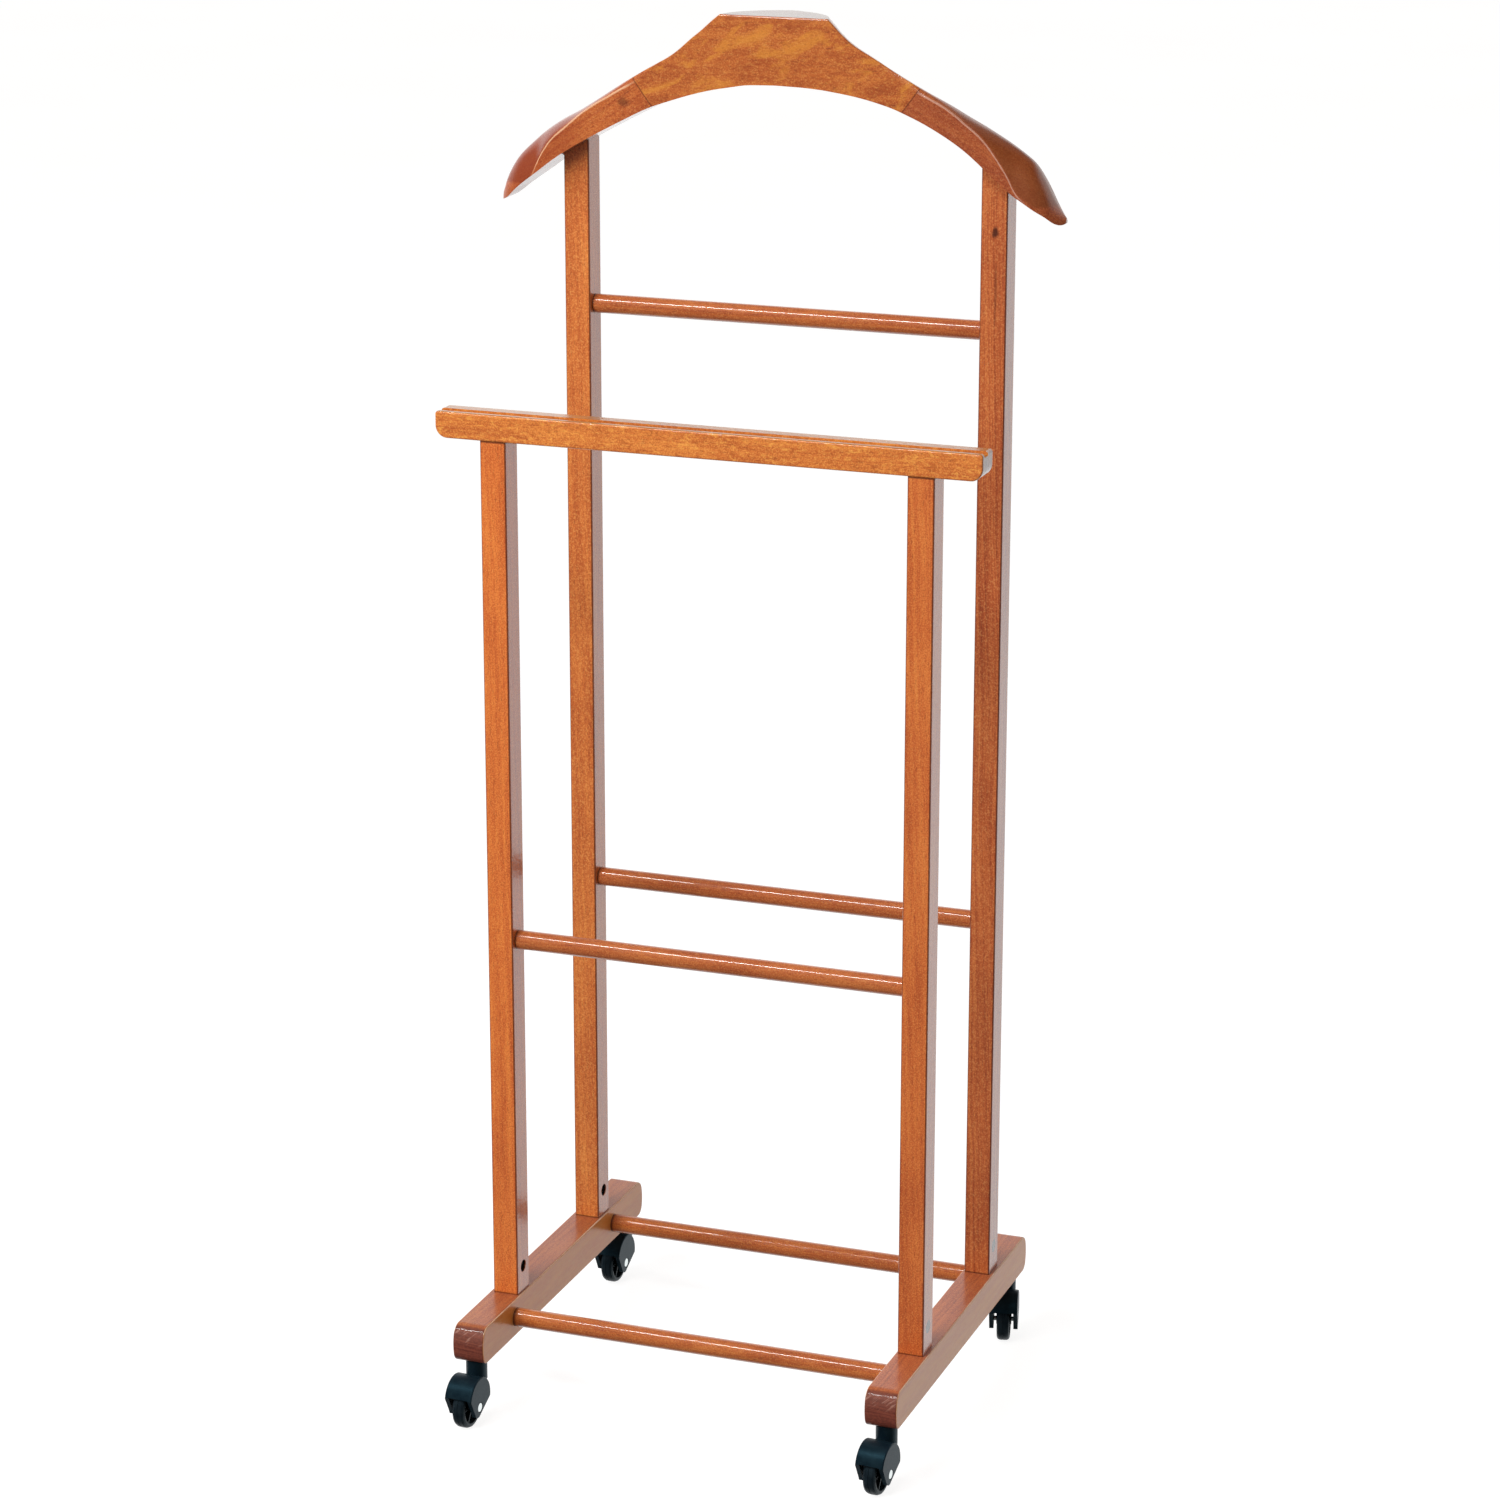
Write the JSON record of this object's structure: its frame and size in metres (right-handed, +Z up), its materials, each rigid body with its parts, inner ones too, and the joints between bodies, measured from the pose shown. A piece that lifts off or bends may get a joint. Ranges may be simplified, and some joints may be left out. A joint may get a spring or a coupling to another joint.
{
  "type": "valet stand",
  "caption": "Wooden clothes valet: shaped hanger on two rear posts, grooved trouser bar on two front posts, rungs between, foot rails on swivel casters.",
  "frame": {"origin": "on the floor, under the middle of the box of the whole stand", "axes": "+Z up, +X to the right seen from the front, -Y towards the front where the trouser bar is"},
  "size_m": [0.452, 0.3556, 1.081],
  "materials": {
    "rail_wood": "satin lacquer",
    "post_wood": "satin lacquer",
    "crossbar_wood": "satin lacquer",
    "hanger_wood": "satin lacquer",
    "shoulder_wood": "satin lacquer",
    "dowel_wood": "satin lacquer",
    "pin_wood": "raw beech",
    "hood_plastic": "moulded, fine texture",
    "wheel_plastic": "moulded",
    "socket_plastic": "moulded",
    "zinc_steel": "zinc plated",
    "spring_steel": "oiled",
    "rivet_steel": "bright"
  },
  "bodies": {
    "frame": {"left_foot_rail": "rail_wood", "right_foot_rail": "rail_wood", "front_left_post": "post_wood", "front_right_post": "post_wood", "rear_left_post": "post_wood", "rear_right_post": "post_wood", "front_crossbar": "crossbar_wood", "hanger_centre": "hanger_wood", "hanger_left_shoulder": "shoulder_wood", "hanger_right_shoulder": "shoulder_wood", "upper_rear_dowel": "dowel_wood", "lower_rear_dowel": "dowel_wood", "front_dowel": "dowel_wood", "front_base_dowel": "dowel_wood", "rear_base_dowel": "dowel_wood", "connecting_bolts": "zinc_steel", "barrel_nuts": "zinc_steel", "crossbar_dowel_pins": "pin_wood", "post_top_dowel_pins": "pin_wood", "hanger_joint_dowel_pins": "pin_wood", "front_left_caster_socket": "socket_plastic", "front_right_caster_socket": "socket_plastic", "rear_left_caster_socket": "socket_plastic", "rear_right_caster_socket": "socket_plastic"},
    "front_left_swivel": {"front_left_caster_hood": "hood_plastic", "front_left_caster_stem": "zinc_steel", "front_left_caster_grip_ring": "spring_steel", "front_left_caster_axle": "rivet_steel"},
    "front_left_wheel": {"front_left_caster_wheel": "wheel_plastic"},
    "front_right_swivel": {"front_right_caster_hood": "hood_plastic", "front_right_caster_stem": "zinc_steel", "front_right_caster_grip_ring": "spring_steel", "front_right_caster_axle": "rivet_steel"},
    "front_right_wheel": {"front_right_caster_wheel": "wheel_plastic"},
    "rear_left_swivel": {"rear_left_caster_hood": "hood_plastic", "rear_left_caster_stem": "zinc_steel", "rear_left_caster_grip_ring": "spring_steel", "rear_left_caster_axle": "rivet_steel"},
    "rear_left_wheel": {"rear_left_caster_wheel": "wheel_plastic"},
    "rear_right_swivel": {"rear_right_caster_hood": "hood_plastic", "rear_right_caster_stem": "zinc_steel", "rear_right_caster_grip_ring": "spring_steel", "rear_right_caster_axle": "rivet_steel"},
    "rear_right_wheel": {"rear_right_caster_wheel": "wheel_plastic"}
  },
  "joints": [
    {"name": "front_left_swivel_turn", "type": "hinge", "parent": "frame", "child": "front_left_swivel", "pos_m": [-0.1699, -0.1427, 0.0515], "axis": [0, 0, 1], "continuous": true},
    {"name": "front_left_wheel_roll", "type": "hinge", "parent": "front_left_swivel", "child": "front_left_wheel", "pos_m": [-0.17081, -0.16008, 0.0176], "axis": [0.9986, -0.0523, 0], "continuous": true},
    {"name": "front_right_swivel_turn", "type": "hinge", "parent": "frame", "child": "front_right_swivel", "pos_m": [0.1699, -0.1427, 0.0515], "axis": [0, 0, 1], "continuous": true},
    {"name": "front_right_wheel_roll", "type": "hinge", "parent": "front_right_swivel", "child": "front_right_wheel", "pos_m": [0.16838, -0.16003, 0.0176], "axis": [0.9962, -0.0872, 0], "continuous": true},
    {"name": "rear_left_swivel_turn", "type": "hinge", "parent": "frame", "child": "rear_left_swivel", "pos_m": [-0.1699, 0.1634, 0.0515], "axis": [0, 0, 1], "continuous": true},
    {"name": "rear_left_wheel_roll", "type": "hinge", "parent": "rear_left_swivel", "child": "rear_left_wheel", "pos_m": [-0.17051, 0.14601, 0.0176], "axis": [0.9994, -0.0349, 0], "continuous": true},
    {"name": "rear_right_swivel_turn", "type": "hinge", "parent": "frame", "child": "rear_right_swivel", "pos_m": [0.1699, 0.1634, 0.0515], "axis": [0, 0, 1], "continuous": true},
    {"name": "rear_right_wheel_roll", "type": "hinge", "parent": "rear_right_swivel", "child": "rear_right_wheel", "pos_m": [0.17411, 0.14652, 0.0176], "axis": [0.9703, 0.2419, 0], "continuous": true}
  ]
}
